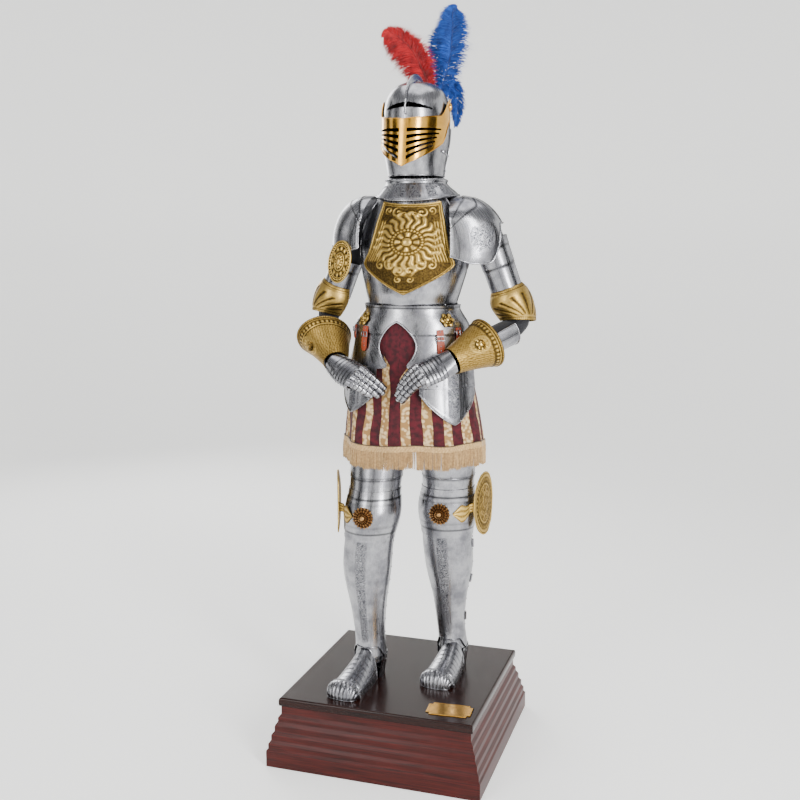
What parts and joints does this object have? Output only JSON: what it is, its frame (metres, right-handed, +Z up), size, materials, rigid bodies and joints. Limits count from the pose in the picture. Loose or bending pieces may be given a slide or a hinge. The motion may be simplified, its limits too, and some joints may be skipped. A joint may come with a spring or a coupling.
{
  "type": "suit of plate armour on a wooden plinth",
  "caption": "Hollow suit of plate armour with cloth skirt and plumes, standing with hands joined on a stepped wooden plinth; the brass visor lifts.",
  "frame": {"origin": "on the ground under the middle of the whole suit and plinth", "axes": "+Z up, the suit faces -Y, its own left hand is at +X"},
  "size_m": [0.7198, 0.643, 2.24],
  "materials": {
    "steel": "polished, lightly brushed",
    "brass": "polished",
    "relief": "aged, dark in the recesses",
    "bronze": "dark bronze",
    "velvet": "velvet and brocade in vertical panes",
    "fringe": "twisted silk fringe",
    "sleeve": "black woven cloth",
    "strap": "satin",
    "glove": "matt",
    "plumeRed": "ostrich feather",
    "plumeBlue": "ostrich feather",
    "wood": "stained and lacquered",
    "woodTop": "glossy lacquer"
  },
  "bodies": {
    "root": {"plinth_frame": "wood", "plinth_top": "woodTop", "plaque": "brass", "plume_holder": "brass", "greave_R": "steel", "cuisse_R": "steel", "poleyn_R": "steel", "sabaton_R": "steel", "toe_cap_R": "steel", "heel_plate_R": "steel", "tasset_upper_R": "steel", "tasset_lower_R": "steel", "rerebrace_R": "steel", "vambrace_R": "steel", "pauldron_R": "steel", "gauntlet_hand_R": "steel", "knee_rosette_R": "bronze", "knee_wing_R": "relief", "hip_rosette_R": "relief", "couter_R": "relief", "gauntlet_cuff_R": "relief", "arming_sleeve_R": "sleeve", "glove_R": "glove", "greave_L": "steel", "cuisse_L": "steel", "poleyn_L": "steel", "sabaton_L": "steel", "toe_cap_L": "steel", "heel_plate_L": "steel", "tasset_upper_L": "steel", "tasset_lower_L": "steel", "rerebrace_L": "steel", "vambrace_L": "steel", "pauldron_L": "steel", "gauntlet_hand_L": "steel", "knee_rosette_L": "bronze", "knee_wing_L": "relief", "hip_rosette_L": "relief", "couter_L": "relief", "gauntlet_cuff_L": "relief", "arming_sleeve_L": "sleeve", "glove_L": "glove", "skirt": "velvet", "skirt_fringe": "fringe", "breastplate": "steel", "backplate": "steel", "fauld": "steel", "culet": "steel", "gorget": "steel", "helmet_skull": "steel", "helmet_bevor": "steel", "chest_shield": "relief", "besagew_R": "relief", "strap_1": "strap", "strap_2": "strap", "strap_3": "strap", "strap_4": "strap", "plume_red": "plumeRed", "plume_blue": "plumeBlue"},
    "visor": {"helmet_visor": "brass"}
  },
  "joints": [
    {"name": "visor_hinge", "type": "hinge", "parent": "root", "child": "visor", "pos_m": [0.00763, 0.002, 1.929], "axis": [-1, 0, 0], "range_deg": [0, 40]}
  ]
}
